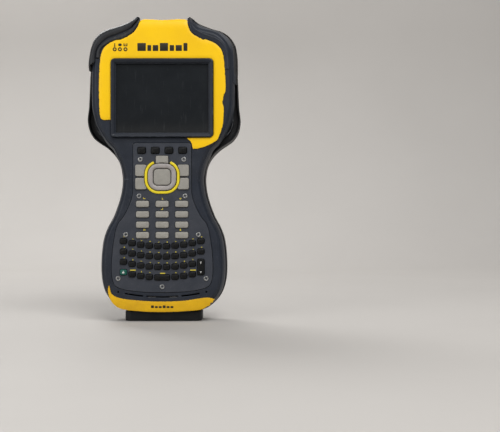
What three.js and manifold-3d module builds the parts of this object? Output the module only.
// A rugged handheld data collector: a landscape touch screen over a keypad, in an hourglass two-shell case
// with rubber corner guards, a radio cap, a battery door that carries the hand strap, and a port foot.
// Millimetres. +Z runs up the length of the case, the screen faces -Y, and the origin is on the surface that
// the foot stands on, under the middle of the case's width and thickness.
import * as THREE from "three";
import { mergeVertices } from "three/addons/utils/BufferGeometryUtils.js";
import Module from "manifold-3d";

const wasm = await Module();
wasm.setup();

// ---------------------------------------------------------------- driving dimensions

const GAP = 0.3; // between pieces that meet face to face
const WALL = 2.4; // shells

// Planes through the thickness, along Y.
const FRAME_FRONT = -32; // the screen frame stands furthest forward
const FACE = -29; // front face of the front shell
const PARTING = -12; // joint between the two shells
const GRIP_BACK = 13; // back of the grip and of the battery door
const CAP_BACK = 32; // back of the radio cap
const FRONT_EDGE_RADIUS = 5;
const GRIP_EDGE_RADIUS = 8;
const CAP_EDGE_RADIUS = 7;

// Screen.
const APERTURE = { width: 83.4, height: 62.2 }; // visible glass of a 4.1 inch landscape display
const FRAME_RIM = 4.3;
const FRAME_DEPTH = 4.4;
const FRAME_CORNER = 3.5;
const GLASS_THICK = 1.8;
const GLASS_LAP = 2.5; // glass held behind the rim
const LCD_THICK = 6;

// Keys.
const LETTER = { width: 6.6, height: 5.4, corner: 1.2 };
const LETTER_PITCH = 7.73;
const ROW_PITCH = 9.35;
const ROW_ARC_RADIUS = 131; // letter rows lie on arcs that sag in the middle
const NUMBER = { width: 11.7, height: 5.7, corner: 1.5 };
const NUMBER_PITCH = 17.6;
const APPLICATION = { width: 7.8, height: 6.2, corner: 1.3 };
const APPLICATION_PITCH = 12.3;
const SIDE_KEY = { width: 10.2, height: 10.4, corner: 1.6, offset: 19, split: 0.75 };
const OK_KEY = { width: 11.1, height: 8.2, corner: 1.2 };
const PAD_SIZE = 25.4; // navigation ring, a square with very round corners
const PAD_CORNER = 9.5;
const SELECT = { size: 15.4, corner: 3.6, gap: 0.5 }; // the square key in the middle of the ring
const TRIM = { clear: 0.6, width: 2.5, gap: 13.4, height: 1.1 }; // bright ring around the pad
const KEY_TOP = FACE - 2.3;
const KEY_BASE = FACE + 2.6;
const KEY_TRAVEL = 0.8;
const KEY_SIDE_GAP = 0.35;
const WEB = { thick: 0.8, height: 3 }; // silicone web that joins a row of letter keys
const WEB_FRONT = KEY_BASE + KEY_TRAVEL + 0.4;

// Stack of features up the face.
const LOWEST_ROW_Z = 40.2;
const NUMBERS_ABOVE_LETTERS = 10;
const PAD_ABOVE_NUMBERS = 24.2;
const APPLICATION_ABOVE_PAD = 24;
const FRAME_ABOVE_APPLICATION = 11.7;
const TOP_ABOVE_FRAME = 41;
const HOUSING_BOTTOM = 6.5; // the case ends here and the foot reaches below it

// Widths beside the features.
const SHOULDER_BESIDE_FRAME = 24.5;
const PLATE_BESIDE_NUMBERS = 2.65;
const PLATE_BESIDE_LETTERS = 7.3;
const GRIP_BESIDE_PLATE = 12;
const BELLY_BESIDE_PLATE = 12.4;
const PLATE_THICK = 1.6;
const PLATE_PROUD = 0.6;

// Chin: three sound slots between the plate and the lower strip, with a pinhole beyond each end.
const SLOT = { spread: 25.4, rise: 1.8, outer: 16.6, middle: 30, height: 1.3 };
const PINHOLE = { radius: 1.1, x: 39.7 };
const CHIN_BELOW_PLATE = 4.2;

// Back of the case.
const DOOR = { width: 72, low: 19, high: 83, thick: 3, corner: 5 };
const BATTERY = { width: 66, height: 57, thick: 18.5 };
const LATCH = { radius: 4.2, x: 30, belowTop: 7, thick: 3.6, slot: 1.4 };
const STRAP = { width: 44, thick: 3.2, bar: 2, barStandoff: 7, barZ: 27, bow: 16.8 };
const HOOK = { thick: 2.4, lip: 7.5, leg: 15 };
const EAR = { thick: 4, width: 8 };
const CAP_LOW_ABOVE_PAD = 22;
const STYLUS = { radius: 3.4, head: 4.2, headHeight: 4, length: 98, x: -34, tip: 9 };
const SPEAKER = { radius: 6.5, thick: 4.7, z: 20.5 }; // behind the slots in the chin
const CAMERA = { radius: 6.5, x: 26, belowTop: 34 };
const GUARD_WALL = 6;
const BOARD_THICK = 1.6;

// Foot.
const FOOT = { width: 70, depth: 32, y: -5, corner: 6, height: 9 };
const PORT_BAY = { width: 62, depth: 19, deep: 5.5 };
const SERIAL = { x: -14.5, flange: [30.8, 12.4], shell: [17.6, 8.6] };
const JACK = { x: 11.5, radius: 4.6, hole: 3, pin: 1 };
const USB = { x: 24, width: 9.4, depth: 6, wall: 1.2 };
const PORT_LOW = 4.4; // the power and USB ports end this high above the surface
const COVER = { thick: 1.8, hinge: 1.1 };

// ---------------------------------------------------------------- places that follow from them

const frameWidth = APERTURE.width + 2 * FRAME_RIM;
const frameHeight = APERTURE.height + 2 * FRAME_RIM;
const rowZ = (row) => LOWEST_ROW_Z + (3 - row) * ROW_PITCH;
const numberZ = (row) => rowZ(0) + NUMBERS_ABOVE_LETTERS + (3 - row) * ROW_PITCH;
const padZ = numberZ(0) + PAD_ABOVE_NUMBERS;
const applicationZ = padZ + APPLICATION_ABOVE_PAD;
const frameLow = applicationZ + FRAME_ABOVE_APPLICATION;
const screenZ = frameLow + frameHeight / 2;
const top = frameLow + frameHeight + TOP_ABOVE_FRAME;
const capLow = padZ + CAP_LOW_ABOVE_PAD;

const plateNarrow = NUMBER_PITCH + NUMBER.width / 2 + PLATE_BESIDE_NUMBERS; // half widths from here on
const plateWide = 4.5 * LETTER_PITCH + LETTER.width / 2 + PLATE_BESIDE_LETTERS;
const shoulder = frameWidth / 2 + SHOULDER_BESIDE_FRAME;
const grip = plateNarrow + GRIP_BESIDE_PLATE;
const belly = plateWide + BELLY_BESIDE_PLATE;
const plateTop = applicationZ + 6.5;
const plateLow = rowZ(3) - 13.5;
const chinZ = plateLow - CHIN_BELOW_PLATE;
const guardEnd = top - 50;

const arcRise = (x) => ROW_ARC_RADIUS - Math.sqrt(ROW_ARC_RADIUS ** 2 - x * x);

// ---------------------------------------------------------------- making solids

// A closed solid from a three.js geometry, with the vertices that its faces share merged.
function solidOf(geometry) {
  const bare = geometry.index ? geometry.toNonIndexed() : geometry.clone();
  bare.deleteAttribute("normal");
  bare.deleteAttribute("uv");
  const merged = mergeVertices(bare, 1e-3);
  return new wasm.Manifold(
    new wasm.Mesh({
      numProp: 3,
      vertProperties: merged.attributes.position.array,
      triVerts: new Uint32Array(merged.index.array),
    }),
  );
}

function geometryOf(solid) {
  const mesh = solid.getMesh();
  const geometry = new THREE.BufferGeometry();
  geometry.setAttribute("position", new THREE.BufferAttribute(mesh.vertProperties, 3));
  geometry.setIndex(new THREE.BufferAttribute(mesh.triVerts, 1));
  const flat = geometry.toNonIndexed();
  flat.computeVertexNormals();
  return flat;
}

// An outline drawn in X and Z, given thickness from back to front along Y. A round edge takes the radius
// off both ends, so a piece that has it at one end only is trimmed by the caller.
function slab(outline, back, front, edge = 0, steps = 3) {
  const solid = standing(outline, 0, back - front, edge, steps);
  return solid.rotate([90, 0, 0]).translate([0, back, 0]);
}

// An outline drawn in X and Y, given height along Z.
function standing(outline, low, high, edge = 0, steps = 2) {
  const geometry = new THREE.ExtrudeGeometry(shapeOf(outline), {
    depth: high - low - 2 * edge,
    bevelEnabled: edge > 0,
    bevelThickness: edge,
    bevelSize: edge,
    bevelOffset: -edge,
    bevelSegments: steps,
  });
  geometry.translate(0, 0, low + edge);
  return solidOf(geometry);
}

// The outline as a shape, without the points that fall on the next one.
function shapeOf(outline) {
  return new THREE.Shape(outline.filter((p, i) => p.distanceTo(outline[(i + 1) % outline.length]) > 0.02));
}

// A slab with one round edge: at the front when back is the flat end, and the other way about.
function slabRoundFront(outline, back, front, edge, steps) {
  const both = slab(outline, back + 2 * edge, front, edge, steps);
  return both.intersect(block([-500, 500], [front - 1, back], [-500, 500]));
}
function slabRoundBack(outline, back, front, edge, steps) {
  const both = slab(outline, back, front - 2 * edge, edge, steps);
  return both.intersect(block([-500, 500], [front, back + 1], [-500, 500]));
}

function block([x0, x1], [y0, y1], [z0, z1]) {
  const geometry = new THREE.BoxGeometry(x1 - x0, y1 - y0, z1 - z0);
  geometry.translate((x0 + x1) / 2, (y0 + y1) / 2, (z0 + z1) / 2);
  return solidOf(geometry);
}

function rod(axis, radius, from, to, sides = 20) {
  const geometry = new THREE.CylinderGeometry(radius, radius, to - from, sides);
  geometry.translate(0, (from + to) / 2, 0);
  if (axis === "x") geometry.rotateZ(-Math.PI / 2);
  if (axis === "z") geometry.rotateX(Math.PI / 2);
  return solidOf(geometry);
}

// The outline of a rectangle with round corners, centred on x and z. A larger corner gets more points.
function roundRect(x, z, width, height, radius) {
  const w = width / 2;
  const h = height / 2;
  const r = Math.min(radius, w, h);
  const shape = new THREE.Shape();
  shape.moveTo(x - w + r, z - h);
  shape.lineTo(x + w - r, z - h);
  shape.absarc(x + w - r, z - h + r, r, -Math.PI / 2, 0, false);
  shape.lineTo(x + w, z + h - r);
  shape.absarc(x + w - r, z + h - r, r, 0, Math.PI / 2, false);
  shape.lineTo(x - w + r, z + h);
  shape.absarc(x - w + r, z + h - r, r, Math.PI / 2, Math.PI, false);
  shape.lineTo(x - w, z - h + r);
  shape.absarc(x - w + r, z - h + r, r, Math.PI, 1.5 * Math.PI, false);
  return shape.getPoints(Math.ceil(r / 4));
}

const vectors = (pairs) => pairs.map(([x, z]) => new THREE.Vector2(x, z));

// A smooth closed outline from the points of its right half, top to bottom.
function mirrored(half, samples) {
  const left = half.filter(([x]) => x > 0).map(([x, z]) => [-x, z]);
  const points = [...half, ...left.reverse()].map(([x, z]) => new THREE.Vector3(x, z, 0));
  const curve = new THREE.CatmullRomCurve3(points, true, "centripetal");
  return curve.getPoints(samples).slice(0, -1).map((p) => new THREE.Vector2(p.x, p.y));
}

// The outline moved inwards by a distance, along the normal at each point. A point that would land nearer
// than that to another stretch of the outline, as in a tight corner, is left out.
function inset(outline, distance) {
  const turn = Math.sign(THREE.ShapeUtils.area(outline));
  const count = outline.length;
  const moved = outline.map((point, i) => {
    const along = outline[(i + 1) % count].clone().sub(outline[(i + count - 1) % count]).normalize();
    return new THREE.Vector2(point.x - along.y * turn * distance, point.y + along.x * turn * distance);
  });
  const near = (point) => Math.min(...outline.map((p) => p.distanceTo(point)));
  return moved.filter((point) => near(point) >= Math.abs(distance) * 0.97);
}

// ---------------------------------------------------------------- outlines

const OUTLINE_SAMPLES = 76;
const LOWER_OUTLINE = (edge) => [
  [grip - edge, padZ],
  [grip + 0.5 - edge, padZ - 9.5],
  [grip + 2.4 - edge, padZ - 19],
  [grip + (belly - grip) * 0.42 - edge, numberZ(1) - 2],
  [grip + (belly - grip) * 0.7 - edge, numberZ(2) - 3],
  [belly - 2.2 - edge, rowZ(0) + 5.5],
  [belly - edge, rowZ(2) + 2],
  [belly - 0.9 - edge, rowZ(3) - 4],
  [belly - 3.8 - edge, rowZ(3) - 14],
  [belly - 9.5 - edge, rowZ(3) - 22.2],
  [belly - 19.5 - edge, HOUSING_BOTTOM + 4 + edge / 2],
  [belly - 36 - edge, HOUSING_BOTTOM + 0.6 + edge / 2],
  [0, HOUSING_BOTTOM + edge / 2],
];

// Outside of the whole case, widest at the shoulders of the rear shell.
const caseOutline = mirrored(
  [
    [0, top - 4],
    [shoulder - 52, top - 3.6],
    [shoulder - 46.5, top],
    [shoulder - 35.5, top - 7.3],
    [shoulder - 18.5, top - 12.8],
    [shoulder - 11.7, top - 17.4],
    [shoulder - 7.3, top - 23],
    [shoulder - 4.6, top - 30],
    [shoulder - 3.2, top - 39],
    [shoulder - 2.4, top - 66],
    [shoulder - 1.4, frameLow + 29],
    [shoulder, frameLow + 17],
    [shoulder - 2, frameLow + 7],
    [shoulder - 6.4, frameLow],
    [shoulder - 12.3, frameLow - 4.6],
    [grip + 14, frameLow - 8.6],
    [grip + 6.6, frameLow - 16],
    [grip + 2.4, padZ + 12],
    ...LOWER_OUTLINE(0),
  ],
  OUTLINE_SAMPLES,
);

// Outside of the front shell, which is narrower at the shoulders.
const FRONT_SETBACK = 1.2;
const frontOutline = mirrored(
  [
    [0, top - 4],
    [shoulder - 49, top - 4],
    [shoulder - 37, top - 9.5],
    [shoulder - 19.5, top - 15.5],
    [shoulder - 10.5, top - 24],
    [shoulder - 6.5, top - 34],
    [shoulder - 5.4, top - 50],
    [shoulder - 5.2, top - 73],
    [shoulder - 5.7, frameLow + 27],
    [shoulder - 7.4, frameLow + 18.5],
    [shoulder - 9.6, frameLow + 11],
    [shoulder - 14, frameLow + 2.5],
    [grip + 12.8, frameLow - 5.6],
    [grip + 7.6, frameLow - 11],
    [grip + 4.2, frameLow - 18],
    [grip + 1.4, padZ + 12],
    ...LOWER_OUTLINE(FRONT_SETBACK),
  ],
  OUTLINE_SAMPLES,
);

// The keypad plate: straight beside the pad and the numbers, then flared around the letters.
const plateOutline = mirrored(
  [
    [0, plateTop],
    [plateNarrow - 2.5, plateTop],
    [plateNarrow - 0.5, plateTop - 0.6],
    [plateNarrow, plateTop - 2.5],
    [plateNarrow, padZ],
    [plateNarrow, padZ - 10],
    [plateNarrow + 1.5, numberZ(0) + 4],
    [plateNarrow + (plateWide - plateNarrow) * 0.44, numberZ(1) - 2],
    [plateNarrow + (plateWide - plateNarrow) * 0.72, numberZ(2)],
    [plateWide - 2, rowZ(0) + 5],
    [plateWide, rowZ(2) + 3],
    [plateWide - 0.6, rowZ(3) - 1],
    [plateWide - 3, plateLow + 6.4],
    [plateWide - 8, plateLow + 3.6],
    [plateWide - 22, plateLow + 1],
    [0, plateLow],
  ],
  60,
);

// Inner edge of the corner guards, which is also the edge of the coloured mask beside them.
const guardCurve = [
  [shoulder - 50, top + 6],
  [shoulder - 49.9, top - 4],
  [shoulder - 48.7, top - 10.5],
  [shoulder - 44.1, top - 16.8],
  [shoulder - 38.6, top - 20.7],
  [shoulder - 34, top - 23],
  [shoulder - 27.6, top - 24.4],
  [shoulder - 22, top - 27],
  [shoulder - 17.5, top - 31.5],
  [shoulder - 15.3, top - 37],
  [shoulder - 14.4, top - 44],
  [shoulder - 14.2, guardEnd],
];

// The region outside that edge, down to where a guard ends.
function guardRegion(side, end, grow) {
  const edge = guardCurve.map(([x, z]) => [side * (x - grow), z - grow * 0.6]);
  edge[edge.length - 1][1] = end - grow;
  return vectors([...edge, [side * 200, end - grow], [side * 200, top + 6]]);
}

// ---------------------------------------------------------------- shells

const shellFront = (grow) =>
  slabRoundFront(inset(frontOutline, -grow), PARTING - GAP, FACE - grow, FRONT_EDGE_RADIUS, 4);

const keyHole = (x, z, size) =>
  roundRect(x, z, size.width + 2 * KEY_SIDE_GAP, size.height + 2 * KEY_SIDE_GAP, size.corner + KEY_SIDE_GAP);

// The foot's outline grown by the gap, cut from both housings.
const footSeat = roundRect(0, FOOT.y, FOOT.width + 2 * GAP, FOOT.depth + 2 * GAP, FOOT.corner + GAP);

const guardCut = (side) => slab(guardRegion(side, guardEnd, GAP), 100, -100);

const plateSeatDepth = PLATE_THICK - PLATE_PROUD;
const PLATE_LEDGE = PLATE_BESIDE_NUMBERS - 1.1;

function frontShell() {
  const inner = slab(inset(frontOutline, WALL), PARTING + 1, FACE + WALL);
  const frameSeat = roundRect(0, screenZ, frameWidth + 2 * GAP, frameHeight + 2 * GAP, FRAME_CORNER + GAP);
  const seat = inset(plateOutline, -GAP);
  const window = inset(plateOutline, PLATE_LEDGE);
  const slots = [-1, 0, 1].map((side) =>
    roundRect(
      side * SLOT.spread,
      chinZ + Math.abs(side) * SLOT.rise,
      side ? SLOT.outer : SLOT.middle,
      SLOT.height,
      0.6,
    ),
  );
  const ports = [-1, 1].map((side) =>
    rod("y", PINHOLE.radius, FACE - 1, FACE + WALL + 1, 10).translate([side * PINHOLE.x, 0, plateLow + 0.3]),
  );
  let shell = shellFront(0)
    .subtract(inner)
    .subtract(slab(frameSeat, FACE + 10, FACE - 10))
    .subtract(slab(seat, FACE + plateSeatDepth + GAP, FACE - 10))
    .subtract(slab(window, FACE + 10, FACE - 10))
    .subtract(standing(footSeat, -1, FOOT.height + GAP))
    .subtract(guardCut(1))
    .subtract(guardCut(-1));
  for (const slot of slots) shell = shell.subtract(slab(slot, FACE + WALL + 1, FACE - 1));
  for (const hole of ports) shell = shell.subtract(hole);
  return shell;
}

const levels = (low, high) => block([-500, 500], [-500, 500], [low, high]);

function rearShell() {
  const body = slabRoundBack(caseOutline, GRIP_BACK, PARTING, GRIP_EDGE_RADIUS, 4);
  const lower = body.intersect(levels(-50, capLow + 1));
  const upper = slabRoundBack(caseOutline, GRIP_BACK, PARTING, 1.5, 1).intersect(levels(capLow, 500));
  const inner = slab(inset(caseOutline, WALL + 4), GRIP_BACK - WALL - 0.6, PARTING - 1);
  const rim = slab(inset(caseOutline, WALL), PARTING + 5, PARTING - 1);
  const doorMiddle = (DOOR.low + DOOR.high) / 2;
  const doorway = roundRect(
    0, doorMiddle, DOOR.width + 2 * GAP, DOOR.high - DOOR.low + 2 * GAP, DOOR.corner + GAP,
  );
  return lower
    .add(upper)
    .subtract(inner)
    .subtract(rim)
    .subtract(slab(doorway, GRIP_BACK + 1, GRIP_BACK - 8))
    .subtract(standing(footSeat, -1, FOOT.height + GAP))
    .subtract(guardCut(1))
    .subtract(guardCut(-1));
}

const anchorBar = { y: GRIP_BACK + 11, z: capLow - 6.5 };

function radioCap() {
  const outline = inset(caseOutline, 1.6);
  const body = slabRoundBack(outline, CAP_BACK, GRIP_BACK + GAP, CAP_EDGE_RADIUS, 4);
  const outer = body.intersect(levels(capLow, 500));
  const inner = slab(inset(outline, CAP_EDGE_RADIUS), CAP_BACK - WALL, GRIP_BACK - 1);
  const wall = STYLUS.radius + GAP + 2;
  const holder = block(
    [STYLUS.x - wall, STYLUS.x + wall], [stylusY - wall, CAP_BACK], [capLow, stylusTop + 3],
  ).intersect(outer);
  const bore = rod("z", STYLUS.radius + GAP, capLow - 1, stylusTop + 1).translate([STYLUS.x, stylusY, 0]);
  const lens = rod("y", CAMERA.radius + GAP, CAP_BACK - 10, CAP_BACK + 1, 24);
  let cap = outer.subtract(inner.intersect(levels(capLow + WALL, 500))).add(holder).subtract(bore);
  cap = cap.subtract(lens.translate([CAMERA.x, 0, top - CAMERA.belowTop]));
  cap = cap.subtract(guardCut(1)).subtract(guardCut(-1));
  for (const side of [-1, 1]) {
    const low = [anchorBar.y - EAR.width / 2, anchorBar.z - EAR.width / 2];
    cap = cap.add(block(earX(side), [low[0], low[0] + EAR.width], [low[1], capLow + 1]));
  }
  return cap.add(strapBar(anchorBar));
}

const stylusY = CAP_BACK - STYLUS.radius - 1.8;
const stylusTop = capLow - STYLUS.headHeight - GAP + STYLUS.length;
const earInside = STRAP.width / 2 + 1.5;
const earX = (side) =>
  side > 0 ? [earInside, earInside + EAR.thick] : [-earInside - EAR.thick, -earInside];
const strapBar = (place) =>
  rod("x", STRAP.bar, -earInside - 1, earInside + 1, 16).translate([0, place.y, place.z]);

const doorBar = { y: GRIP_BACK + STRAP.barStandoff, z: STRAP.barZ };

function batteryDoor() {
  const middle = (DOOR.low + DOOR.high) / 2;
  const panel = roundRect(0, middle, DOOR.width, DOOR.high - DOOR.low, DOOR.corner);
  let door = slab(panel, GRIP_BACK, GRIP_BACK - DOOR.thick);
  for (const side of [-1, 1]) {
    const reach = [doorBar.z - EAR.width / 2, doorBar.z + EAR.width / 2];
    door = door.add(block(earX(side), [GRIP_BACK - 1, doorBar.y + EAR.width / 2], reach));
    const hole = rod("y", LATCH.radius + GAP, GRIP_BACK - 10, GRIP_BACK + 5, 24);
    door = door.subtract(hole.translate([side * LATCH.x, 0, DOOR.high - LATCH.belowTop]));
  }
  return door.add(strapBar(doorBar));
}

function latch(side) {
  const z = DOOR.high - LATCH.belowTop;
  const head = rod("y", LATCH.radius, GRIP_BACK - LATCH.thick + 0.8, GRIP_BACK + 0.8, 24);
  const slot = block(
    [-LATCH.radius, LATCH.radius],
    [GRIP_BACK - 0.6, GRIP_BACK + 2],
    [-LATCH.slot / 2, LATCH.slot / 2],
  );
  return head.subtract(slot).translate([side * LATCH.x, 0, z]);
}

// ---------------------------------------------------------------- hand strap

const hookLeg = { front: anchorBar.y + STRAP.bar + 0.5, top: anchorBar.z + STRAP.bar + 0.5 + HOOK.thick };

// An outline drawn in Y and Z, given width along X about the middle.
function acrossBand(outline, width) {
  const geometry = new THREE.ExtrudeGeometry(shapeOf(outline), { depth: width, bevelEnabled: false });
  geometry.translate(0, 0, -width / 2);
  const [x, y, z] = [new THREE.Vector3(1, 0, 0), new THREE.Vector3(0, 1, 0), new THREE.Vector3(0, 0, 1)];
  geometry.applyMatrix4(new THREE.Matrix4().makeBasis(y, z, x));
  return solidOf(geometry);
}

// The middle line of the strap, from the loop on the door's bar up to the hook.
const strapLine = new THREE.CatmullRomCurve3(
  [
    [doorBar.y + 0.6, doorBar.z + 4],
    [doorBar.y + 5.5, doorBar.z + 22],
    [GRIP_BACK + STRAP.bow - 0.4, doorBar.z + 46],
    [GRIP_BACK + STRAP.bow, anchorBar.z - 42],
    [hookLeg.front + HOOK.thick / 2, hookLeg.top - HOOK.leg - GAP],
  ].map(([y, z]) => new THREE.Vector3(y, z, 0)),
);

function handStrap() {
  const steps = 12;
  const line = strapLine.getPoints(steps);
  const sides = [-1, 1].map((side) =>
    line.map((p, i) => {
      const along = strapLine.getTangent(i / steps);
      const half = (side * STRAP.thick) / 2;
      return new THREE.Vector2(p.x + along.y * half, p.y - along.x * half);
    }),
  );
  const band = acrossBand([...sides[0], ...sides[1].reverse()], STRAP.width);
  const loop = rod("x", STRAP.bar + 0.4 + 2.2, -STRAP.width / 2, STRAP.width / 2, 20);
  const bore = rod("x", STRAP.bar + 0.4, -100, 100, 16);
  const at = [0, doorBar.y, doorBar.z];
  return band.add(loop.translate(at)).subtract(bore.translate(at));
}

function strapHook() {
  const { front, top: hookTop } = hookLeg;
  const outline = vectors([
    [front, hookTop - HOOK.leg],
    [front + HOOK.thick, hookTop - HOOK.leg],
    [front + HOOK.thick, hookTop],
    [front + HOOK.thick - HOOK.lip, hookTop],
    [front + HOOK.thick - HOOK.lip, hookTop - HOOK.thick],
    [front, hookTop - HOOK.thick],
  ]);
  return acrossBand(outline, STRAP.width - 2);
}

// ---------------------------------------------------------------- face pieces

const frontSkin = () => shellFront(GAP + 0.9).subtract(shellFront(GAP));

function faceMask() {
  const half = frameWidth / 2 + GAP;
  const high = screenZ + frameHeight / 2 + GAP;
  const low = frameLow - GAP;
  const outer = shoulder - 13.9;
  const corner = guardCurve.map(([x, z]) => [x - GAP, z - GAP]);
  const left = corner.map(([x, z]) => [-x, z]).reverse();
  const outline = vectors([
    ...corner,
    [outer, frameLow + 34],
    [outer - 1.6, frameLow + 14],
    [outer - 4.2, frameLow + 3],
    [outer - 7.4, frameLow - 2.4],
    [outer - 14, frameLow - 6.6],
    [outer - 22, frameLow - 9.6],
    [plateNarrow + 1.8, frameLow - 10.4],
    [plateNarrow + 1.6, frameLow - 6],
    [plateNarrow - 1.9, frameLow - 1.6],
    [plateNarrow - 1.9, low],
    [half, low],
    [half, high],
    [-half, high],
    [-half, frameLow + 15.4],
    [-outer + 2.2, frameLow + 16.2],
    [-outer + 0.6, frameLow + 20],
    [-outer, frameLow + 40],
    ...left,
  ]);
  return slab(outline, FACE + 6, FACE - 6).intersect(frontSkin());
}

function lowerStrip() {
  const half = 4.5 * LETTER_PITCH + 4.6;
  const high = chinZ - 0.5;
  const outline = vectors([
    [-half - 7.8, high + 11.3],
    [-half - 5.8, high + 3.4],
    [-half, high],
    [-half / 2, high - 2.7],
    [0, high - 3.5],
    [half / 2, high - 2.7],
    [half, high],
    [half + 8, high - 1.6],
    [half + 4.5, high - 5.5],
    [half - 3, high - 10.4],
    [half / 2, high - 12.4],
    [0, high - 13.1],
    [-half / 2, high - 12.4],
    [-half + 1.2, high - 9.8],
    [-half - 6, high - 4],
    [-half - 9.6, high + 4.6],
  ]);
  return slab(outline, FACE + 6, FACE - 6).intersect(frontSkin());
}

function screenFrame() {
  const outer = roundRect(0, screenZ, frameWidth, frameHeight, FRAME_CORNER);
  const inner = roundRect(0, screenZ, APERTURE.width, APERTURE.height, 1);
  const body = slabRoundFront(outer, FRAME_FRONT + FRAME_DEPTH, FRAME_FRONT, 1.2, 2);
  return body.subtract(slab(inner, FRAME_FRONT + 10, FRAME_FRONT - 10));
}

const glassFront = FRAME_FRONT + FRAME_DEPTH + GAP;
const glassSize = [APERTURE.width + 2 * GLASS_LAP, APERTURE.height + 2 * GLASS_LAP];
const touchGlass = () =>
  slab(roundRect(0, screenZ, ...glassSize, 1), glassFront + GLASS_THICK, glassFront);
const lcdFront = glassFront + GLASS_THICK + GAP;
const lcdModule = () =>
  block(
    [-APERTURE.width / 2 - 1, APERTURE.width / 2 + 1],
    [lcdFront, lcdFront + LCD_THICK],
    [screenZ - APERTURE.height / 2 - 3, screenZ + APERTURE.height / 2 + 1],
  );

// ---------------------------------------------------------------- keys

const letterKey = (x, row) =>
  roundRect(x, rowZ(row) + arcRise(x), LETTER.width, LETTER.height, LETTER.corner);
const column = (i) => (i - 4.5) * LETTER_PITCH;
const ROW_COLUMNS = [
  [0, 1, 2, 3, 4, 5, 6, 7, 8, 9],
  [0, 1, 2, 3, 4, 5, 6, 7, 8, 9],
  [0, 1, 2, 3, 4, 5, 6, 7, 8],
  [1, 2, 3, 6, 7, 8],
];
const tallKey = {
  x: column(9),
  z: (rowZ(2) + rowZ(3)) / 2 + arcRise(column(9)),
  width: LETTER.width,
  height: ROW_PITCH + LETTER.height,
  corner: LETTER.corner,
};
const spaceKey = {
  x: 0,
  z: rowZ(3),
  width: LETTER_PITCH + LETTER.width,
  height: LETTER.height,
  corner: LETTER.corner,
};
const powerKey = { x: column(0), z: rowZ(3) + arcRise(column(0)), ...LETTER };
const applicationX = [-1.5, -0.5, 0.5, 1.5].map((i) => i * APPLICATION_PITCH);

const keyBody = (shape) => slabRoundFront(shape, KEY_BASE, KEY_TOP, 0.7, 1);
const plainKey = (key) => keyBody(roundRect(key.x, key.z, key.width, key.height, key.corner));

function letterRow(row) {
  const columns = ROW_COLUMNS[row];
  let solid = null;
  for (const i of columns) {
    const key = slab(letterKey(column(i), row), WEB_FRONT + WEB.thick, KEY_TOP);
    solid = solid ? solid.add(key) : key;
  }
  const ends = [column(columns[0]), column(columns[columns.length - 1])];
  const steps = 12;
  const along = Array.from({ length: steps + 1 }, (_, i) => ends[0] + ((ends[1] - ends[0]) * i) / steps);
  const upper = along.map((x) => [x, rowZ(row) + arcRise(x) + WEB.height / 2]);
  const lower = along.map((x) => [x, rowZ(row) + arcRise(x) - WEB.height / 2]).reverse();
  return solid.add(slab(vectors([...upper, ...lower]), WEB_FRONT + WEB.thick, WEB_FRONT));
}

// An outline around the middle of the pad, a little wider than high. Its corners follow those of the ring.
const trimSize = PAD_SIZE + 2 * (TRIM.clear + TRIM.width);
const padShape = (size) => roundRect(0, padZ, size, size * 0.95, PAD_CORNER + (size - PAD_SIZE) / 2);
const selectShape = (grow) =>
  roundRect(0, padZ, SELECT.size + 2 * grow, SELECT.size * 0.95 + 2 * grow, SELECT.corner + grow);

// A side key, hollowed where the trim ring passes it.
function sideKey(x, z) {
  const shape = roundRect(x, z, SIDE_KEY.width, SIDE_KEY.height, SIDE_KEY.corner);
  return keyBody(shape).subtract(slab(padShape(trimSize + 2 * KEY_SIDE_GAP), 0, -60));
}

function sideKeyPlaces() {
  const z = SIDE_KEY.height / 2 + SIDE_KEY.split;
  return { left_upper: [-1, z], left_lower: [-1, -z], right_upper: [1, z], right_lower: [1, -z] };
}
const sideKeyX = (side) => side * SIDE_KEY.offset;

const okKeyZ = padZ + (PAD_SIZE * 0.95) / 2 + OK_KEY.height / 2 - 1.2;
const okKeyShape = roundRect(0, okKeyZ, OK_KEY.width, OK_KEY.height, OK_KEY.corner);
const okKey = () => keyBody(okKeyShape).subtract(slab(padShape(PAD_SIZE + 2 * GAP + 0.4), 0, -60));

const PIVOT = { radius: 3, plate: 11, front: KEY_BASE + 1.3, thick: 1 };
// The metal rocker under the navigation ring.
const navPivot = () =>
  rod("y", PIVOT.plate / 2, PIVOT.front, PIVOT.front + PIVOT.thick, 20).translate([0, 0, padZ]);
const navRing = () =>
  slabRoundFront(padShape(PAD_SIZE), KEY_BASE, KEY_TOP - 0.4, 0.9, 2).subtract(
    slab(selectShape(SELECT.gap), 0, -60),
  );
const selectKey = () => slabRoundFront(selectShape(0), KEY_BASE, KEY_TOP + 0.3, 0.8, 2);

function trimRing() {
  const front = FACE - PLATE_PROUD - TRIM.height;
  const ring = slab(padShape(trimSize), FACE - PLATE_PROUD + 0.8, front);
  const inside = padShape(trimSize - 2 * TRIM.width);
  const gap = block([-TRIM.gap / 2, TRIM.gap / 2], [-60, 0], [padZ, padZ + trimSize]);
  return ring.subtract(slab(inside, 0, -60)).subtract(gap);
}

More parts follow.
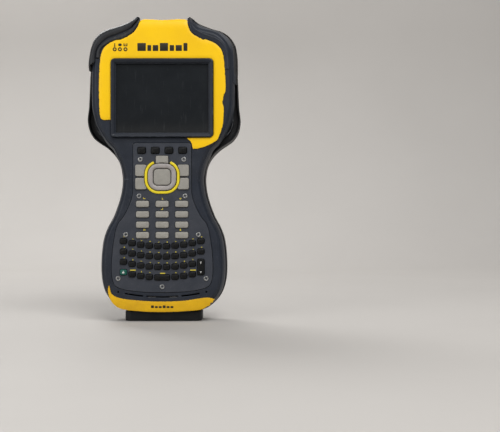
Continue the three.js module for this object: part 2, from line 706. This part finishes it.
function keypadPlate() {
  const back = FACE + plateSeatDepth;
  const holes = [
    ...applicationX.map((x) => keyHole(x, applicationZ, APPLICATION)),
    ...[-1, 0, 1].flatMap((i) => [0, 1, 2, 3].map((row) => keyHole(i * NUMBER_PITCH, numberZ(row), NUMBER))),
    ...ROW_COLUMNS.flatMap((columns, row) =>
      columns.map((i) => keyHole(column(i), rowZ(row) + arcRise(column(i)), LETTER)),
    ),
    ...[tallKey, spaceKey, powerKey].map((key) => keyHole(key.x, key.z, key)),
    keyHole(0, okKeyZ, OK_KEY),
    padShape(PAD_SIZE + 2 * KEY_SIDE_GAP + 1.2),
  ];
  let plate = slabRoundFront(plateOutline, back, FACE - PLATE_PROUD, 0.5, 1);
  for (const hole of holes) plate = plate.subtract(slab(hole, FACE + 10, FACE - 10));
  const underTrim = slab(padShape(trimSize), FACE + 20, FACE - 20);
  for (const [side, z] of Object.values(sideKeyPlaces())) {
    const hole = slab(keyHole(sideKeyX(side), padZ + z, SIDE_KEY), FACE + 10, FACE - 10);
    plate = plate.subtract(hole.subtract(underTrim));
  }
  const ringSeat = slab(padShape(trimSize + 2 * GAP), FACE - PLATE_PROUD + 0.8 + GAP, FACE - 10);
  return plate.subtract(ringSeat);
}

// ---------------------------------------------------------------- inside

const keypadBoardFront = WEB_FRONT + WEB.thick + KEY_TRAVEL + 1.2;
const keypadBoard = () => slab(inset(plateOutline, 4), keypadBoardFront + BOARD_THICK, keypadBoardFront);
const boardFront = keypadBoardFront + BOARD_THICK + 2.6;
const mainBoard = () =>
  block(
    [-grip + WALL + 5, grip - WALL - 5],
    [boardFront, boardFront + BOARD_THICK],
    [DOOR.high + 6, top - 22],
  );
const batteryBack = GRIP_BACK - DOOR.thick - 0.9;
const batteryPack = () => {
  const middle = (DOOR.low + DOOR.high) / 2;
  const outline = roundRect(0, middle, BATTERY.width, BATTERY.height, 3);
  return slab(outline, batteryBack, batteryBack - BATTERY.thick);
};
const speakerFront = FACE + WALL + GAP;
const speaker = () =>
  rod("y", SPEAKER.radius, speakerFront, speakerFront + SPEAKER.thick, 20).translate([0, 0, SPEAKER.z]);
const camera = () => {
  const body = rod("y", CAMERA.radius, CAP_BACK - 9, CAP_BACK - 0.4, 24);
  const well = rod("y", CAMERA.radius - 2.2, CAP_BACK - 2, CAP_BACK + 1, 20);
  return body.subtract(well).translate([CAMERA.x, 0, top - CAMERA.belowTop]);
};

// The seal between the two shells, a strip in their joint that runs round the case below the guards.
const roundFoot = roundRect(0, FOOT.y, FOOT.width + 2, FOOT.depth + 2, FOOT.corner);
const sealRing = () =>
  slab(inset(frontOutline, WALL + 0.8), PARTING + 3.6, PARTING + 0.6)
    .subtract(slab(inset(frontOutline, WALL + 3), PARTING + 9, PARTING - 9))
    .subtract(standing(roundFoot, -1, FOOT.height + 1))
    .intersect(levels(FOOT.height + 1, guardEnd - 3));

// A corner guard: the whole thickness of the case's corner, open on the side that faces the case.
const guard = (side) =>
  slab(caseOutline, CAP_BACK - 0.5, FACE - 2, 4, 3)
    .subtract(slab(inset(caseOutline, GUARD_WALL), CAP_BACK - GUARD_WALL, FACE + GUARD_WALL))
    .intersect(slab(guardRegion(side, guardEnd, 0), 100, -100));

// It goes into the radio cap from below, with its tip up and its head outside.
function stylus() {
  const profile = vectors([
    [0, 0], [STYLUS.head, 0.3], [STYLUS.head, STYLUS.headHeight], [STYLUS.radius, STYLUS.headHeight],
    [STYLUS.radius, STYLUS.length - STYLUS.tip], [0.9, STYLUS.length - 1], [0, STYLUS.length],
  ]);
  const geometry = new THREE.LatheGeometry(profile, 20);
  geometry.rotateX(Math.PI / 2);
  geometry.translate(STYLUS.x, stylusY, stylusTop - STYLUS.length);
  return solidOf(geometry);
}

// ---------------------------------------------------------------- foot and ports

const footOutline = roundRect(0, FOOT.y, FOOT.width, FOOT.depth, FOOT.corner);
const bayOutline = roundRect(0, FOOT.y, PORT_BAY.width, PORT_BAY.depth, 2);
const coverHinge = { y: FOOT.y + PORT_BAY.depth / 2 - COVER.hinge - 0.6, z: 2 };
const portHigh = FOOT.height - GAP;

// A block centred on a port's place in the bay.
const portBlock = (x, width, depth, low, high) =>
  block([x - width / 2, x + width / 2], [FOOT.y - depth / 2, FOOT.y + depth / 2], [low, high]);

function portFoot() {
  const [flangeWidth, flangeDepth] = SERIAL.flange;
  return standing(footOutline, 0, FOOT.height)
    .subtract(standing(bayOutline, -1, PORT_BAY.deep))
    .subtract(portBlock(SERIAL.x, flangeWidth + 2 * GAP, flangeDepth + 2 * GAP, 0, 20))
    .subtract(portBlock(USB.x, USB.width + 2 * GAP, USB.depth + 2 * GAP, 0, 20))
    .subtract(rod("z", JACK.radius + GAP, 0, 20).translate([JACK.x, FOOT.y, 0]));
}

function serialPort() {
  const [width, depth] = SERIAL.shell;
  const flange = portBlock(SERIAL.x, ...SERIAL.flange, PORT_BAY.deep + 0.2, portHigh);
  const shell = standing(roundRect(SERIAL.x, FOOT.y, width, depth, 2), 0.8, PORT_BAY.deep + 1);
  const core = standing(roundRect(SERIAL.x, FOOT.y, width - 1.2, depth - 1.2, 1.6), 0, PORT_BAY.deep);
  return flange.add(shell.subtract(core));
}

const powerJack = () =>
  rod("z", JACK.radius, PORT_LOW, portHigh)
    .subtract(rod("z", JACK.hole, 0, portHigh - 0.8, 16))
    .add(rod("z", JACK.pin, PORT_LOW + 0.6, portHigh, 10))
    .translate([JACK.x, FOOT.y, 0]);

const usbPort = () =>
  portBlock(USB.x, USB.width, USB.depth, PORT_LOW, portHigh)
    .subtract(portBlock(USB.x, USB.width - 2 * USB.wall, USB.depth - 2 * USB.wall, 0, portHigh - 0.8));

// A rubber flap over the power and USB ports, with its hinge roll along the back of the bay.
function portCover() {
  const low = coverHinge.z - COVER.thick / 2;
  const x = [JACK.x - JACK.radius - 2, PORT_BAY.width / 2 - 0.5];
  const flap = block(x, [FOOT.y - PORT_BAY.depth / 2 + 0.8, coverHinge.y], [low, low + COVER.thick]);
  return flap.add(rod("x", COVER.hinge, x[0], x[1], 14).translate([0, coverHinge.y, coverHinge.z]));
}

// ---------------------------------------------------------------- the assembly

const finish = (color, roughness, metalness = 0) =>
  new THREE.MeshStandardMaterial({ color, roughness, metalness });
const materials = {
  slate: finish(0x343a45, 0.5),
  black: finish(0x17181a, 0.6),
  rubber: finish(0x2a2b2e, 0.7),
  yellow: finish(0xf4c400, 0.45),
  plate: finish(0x4d4d51, 0.55),
  silver: finish(0x9a978f, 0.4),
  darkKey: finish(0x151516, 0.5),
  green: finish(0x1c7f6a, 0.5),
  glass: finish(0x1c1f23, 0.1),
  metal: finish(0xa8a8a8, 0.35, 1),
  board: finish(0x1f5b35, 0.6),
  fabric: finish(0x1b1b1d, 0.95),
};

const collector = new THREE.Group();
function place(name, solid, material, parent = collector) {
  const mesh = new THREE.Mesh(geometryOf(solid), materials[material]);
  mesh.name = name;
  parent.add(mesh);
}

place("front_housing", frontShell(), "slate");
place("rear_housing", rearShell(), "black");
place("radio_cap", radioCap(), "black");
place("corner_guard_left", guard(-1), "rubber");
place("corner_guard_right", guard(1), "rubber");
place("housing_seal", sealRing(), "rubber");
place("face_mask", faceMask(), "yellow");
place("lower_strip", lowerStrip(), "yellow");
place("screen_frame", screenFrame(), "slate");
place("touch_glass", touchGlass(), "glass");
place("lcd_module", lcdModule(), "metal");
place("keypad_plate", keypadPlate(), "plate");
place("pad_trim_ring", trimRing(), "yellow");
place("keypad_board", keypadBoard(), "board");
place("main_board", mainBoard(), "board");
place("speaker", speaker(), "metal");
place("camera", camera(), "glass");
place("port_foot", portFoot(), "rubber");
place("serial_port", serialPort(), "metal");
place("power_jack", powerJack(), "black");
place("usb_port", usbPort(), "metal");
place("port_cover", portCover(), "rubber");
place("battery_pack", batteryPack(), "black");
place("battery_door", batteryDoor(), "black");
place("door_latch_left", latch(-1), "metal");
place("door_latch_right", latch(1), "metal");
place("hand_strap", handStrap(), "fabric");
place("strap_hook", strapHook(), "black");
place("stylus", stylus(), "black");

applicationX.forEach((x, i) => {
  place(`application_key_${i + 1}`, plainKey({ x, z: applicationZ, ...APPLICATION }), "darkKey");
});
place("ok_key", okKey(), "silver");
place("nav_pivot", navPivot(), "metal");
place("nav_ring", navRing(), "silver");
place("select_key", selectKey(), "silver");
for (const [name, [side, z]] of Object.entries(sideKeyPlaces())) {
  place(`side_key_${name}`, sideKey(sideKeyX(side), padZ + z), "silver");
}
for (let i = 0; i < 12; i++) {
  const key = { x: ((i % 3) - 1) * NUMBER_PITCH, z: numberZ(Math.floor(i / 3)), ...NUMBER };
  place(`number_key_${i + 1}`, plainKey(key), "silver");
}
ROW_COLUMNS.forEach((_, row) => place(`letter_row_${row + 1}`, letterRow(row), "darkKey"));
place("enter_key", plainKey(tallKey), "darkKey");
place("space_key", plainKey(spaceKey), "darkKey");
place("power_key", plainKey(powerKey), "green");

export default collector;
